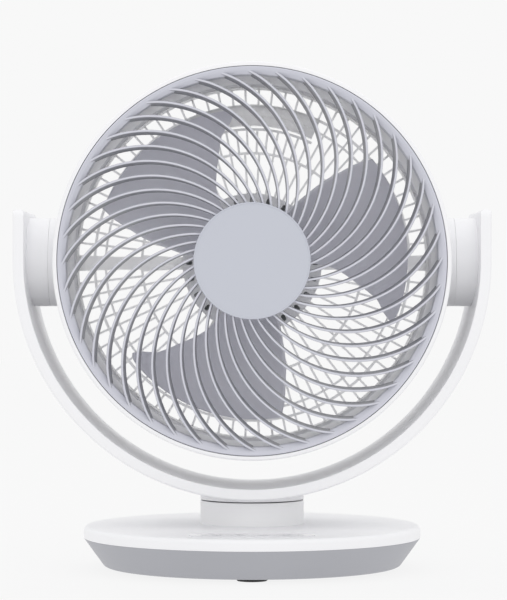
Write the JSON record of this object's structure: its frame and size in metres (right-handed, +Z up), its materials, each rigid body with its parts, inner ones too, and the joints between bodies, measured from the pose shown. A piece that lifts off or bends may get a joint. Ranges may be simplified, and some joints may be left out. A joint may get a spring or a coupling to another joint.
{
  "type": "air circulator fan",
  "caption": "Table air circulator: a round swirl-grille fan head that tilts in a U-shaped yoke, which swivels on a round base with a touch panel.",
  "frame": {"origin": "on the table, under the swivel axis, at the middle of the base", "axes": "+Z up along the swivel axis; the fan blows towards -Y; +X to the right seen from the front, along the tilt axis"},
  "size_m": [0.3108, 0.224, 0.3329],
  "materials": {
    "shell_white": "fine satin moulding, white",
    "neck_white": "fine satin moulding, off-white",
    "base_grey": "fine satin moulding, light grey",
    "grille_grey": "fine satin moulding, pale lilac grey",
    "cap_grey": "satin, pale lilac grey",
    "duct_grey": "satin, mid grey",
    "blade_grey": "satin, cool grey",
    "nut_grey": "satin, cool grey",
    "panel_grey": "smooth lens, light grey",
    "bush_acetal": "smooth acetal, grey",
    "gear_acetal": "smooth acetal, natural",
    "spindle_plastic": "glass-filled, dark grey",
    "component_black": "moulded, black",
    "board_green": "lacquered laminate, green",
    "foot_rubber": "matt, black",
    "pad_rubber": "carbon-filled, dark grey",
    "ballast_iron": "sheared plate, dark",
    "screw_steel": "zinc plated",
    "shaft_steel": "ground",
    "motor_steel": "zinc-coated sheet",
    "lamination_steel": "stacked electrical steel",
    "pin_aluminium": "turned",
    "winding_copper": "enamelled copper wire"
  },
  "bodies": {
    "base": {"feet": "foot_rubber", "base_pan": "base_grey", "base_cover": "shell_white", "touch_panel": "panel_grey", "sensor_pads": "pad_rubber", "touch_board": "board_green", "neck_sleeve": "neck_white", "swivel_bush": "bush_acetal", "ballast_plate": "ballast_iron", "ballast_screws": "screw_steel", "control_board": "board_green", "board_components": "component_black", "board_screws": "screw_steel", "power_inlet": "component_black", "swivel_motor": "motor_steel", "swivel_motor_screws": "screw_steel", "base_screws": "screw_steel", "neck_screws": "screw_steel"},
    "pinion": {"swivel_pinion": "gear_acetal", "motor_shaft": "shaft_steel"},
    "yoke": {"yoke_shell": "shell_white", "yoke_cover": "shell_white", "pivot_seat_right": "shell_white", "pivot_seat_left": "shell_white", "seat_screws": "screw_steel", "pivot_pin_right": "pin_aluminium", "pivot_pin_left": "pin_aluminium", "pivot_circlips": "shaft_steel", "swivel_spindle": "spindle_plastic", "spindle_circlip": "shaft_steel", "swivel_gear": "gear_acetal", "spindle_nut": "spindle_plastic", "spindle_screws": "screw_steel"},
    "head": {"front_shell": "shell_white", "tilt_bush_right": "bush_acetal", "tilt_bush_left": "bush_acetal", "duct_ring": "duct_grey", "front_grille": "grille_grey", "hub_cap": "cap_grey", "rear_grille": "shell_white", "shell_screws": "screw_steel", "carry_grip": "shell_white", "motor_shield": "shell_white", "motor_cup": "motor_steel", "motor_screws": "screw_steel", "motor_bell": "motor_steel", "bearings": "shaft_steel", "stator_core": "lamination_steel", "stator_windings": "winding_copper", "rear_cap": "shell_white"},
    "rotor": {"impeller": "blade_grey", "rotor_shaft": "shaft_steel", "rotor_core": "lamination_steel", "impeller_nut": "nut_grey"}
  },
  "joints": [
    {"name": "swivel", "type": "hinge", "parent": "base", "child": "yoke", "pos_m": [0, 0, 0.0397], "axis": [0, 0, 1], "range_deg": [-45, 45]},
    {"name": "tilt", "type": "hinge", "parent": "yoke", "child": "head", "pos_m": [0, 0, 0.204], "axis": [-1, 0, 0], "range_deg": [-15, 90]},
    {"name": "spin", "type": "hinge", "parent": "head", "child": "rotor", "pos_m": [0, 0, 0.204], "axis": [0, -1, 0], "continuous": true},
    {"name": "pinion_turn", "type": "hinge", "parent": "base", "child": "pinion", "pos_m": [0, 0.026, 0.0235], "axis": [0, 0, 1], "range_deg": [-151, 151]}
  ],
  "couplings": [
    {"joint": "pinion_turn", "follows": "swivel", "ratio": -3.3333}
  ]
}
